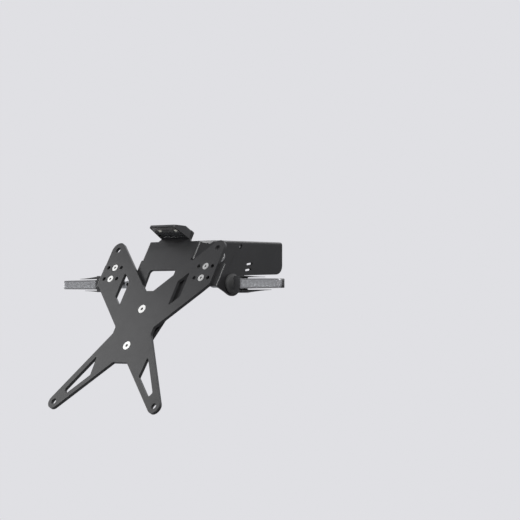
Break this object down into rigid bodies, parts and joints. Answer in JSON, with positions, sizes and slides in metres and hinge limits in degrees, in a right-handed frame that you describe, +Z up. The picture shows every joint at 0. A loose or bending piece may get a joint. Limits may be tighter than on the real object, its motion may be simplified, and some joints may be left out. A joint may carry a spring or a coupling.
{
  "type": "motorcycle tail tidy",
  "caption": "X-shaped number plate carrier leaning back from a folded bracket under a channel, with a plate lamp over it and a slim indicator out to each side",
  "frame": {"origin": "middle of the four mounting bolts on the top face of the under-tail channel", "axes": "+X is the motorcycle's right, +Y its front, +Z up, normal to the channel's top face"},
  "size_m": [0.325, 0.2416, 0.1951],
  "materials": {
    "black_sheet": "satin black powder coat",
    "stainless": "plain stainless",
    "zinc": "zinc plated",
    "black_plastic": "fine matte grain",
    "rubber": "matte",
    "clear_lens": "clear polished plastic",
    "smoked_lens": "smoked plastic",
    "board": "solder mask",
    "chips": "encapsulant"
  },
  "bodies": {
    "root": {"plate_carrier": "black_sheet", "main_bracket": "black_sheet", "base_bracket": "black_sheet", "carrier_screws": "stainless", "carrier_spacers": "zinc", "carrier_washers": "zinc", "carrier_nuts": "zinc", "left_indicator_bracket": "black_sheet", "right_indicator_bracket": "black_sheet", "arm_screws": "stainless", "arm_washers": "zinc", "arm_nuts": "zinc", "strap_bolts": "stainless", "strap_washers": "zinc", "strap_nuts": "zinc", "lamp_housing": "black_plastic", "lamp_lens": "smoked_lens", "lamp_board": "board", "lamp_leds": "chips", "lamp_washers": "zinc", "lamp_nuts": "zinc", "left_indicator_foot": "rubber", "left_indicator_stem": "zinc", "left_indicator_housing": "black_plastic", "left_indicator_lens": "clear_lens", "left_indicator_board": "board", "left_indicator_leds": "chips", "left_indicator_washer": "zinc", "left_indicator_nut": "zinc", "right_indicator_foot": "rubber", "right_indicator_stem": "zinc", "right_indicator_housing": "black_plastic", "right_indicator_lens": "clear_lens", "right_indicator_board": "board", "right_indicator_leds": "chips", "right_indicator_washer": "zinc", "right_indicator_nut": "zinc"}
  },
  "joints": []
}
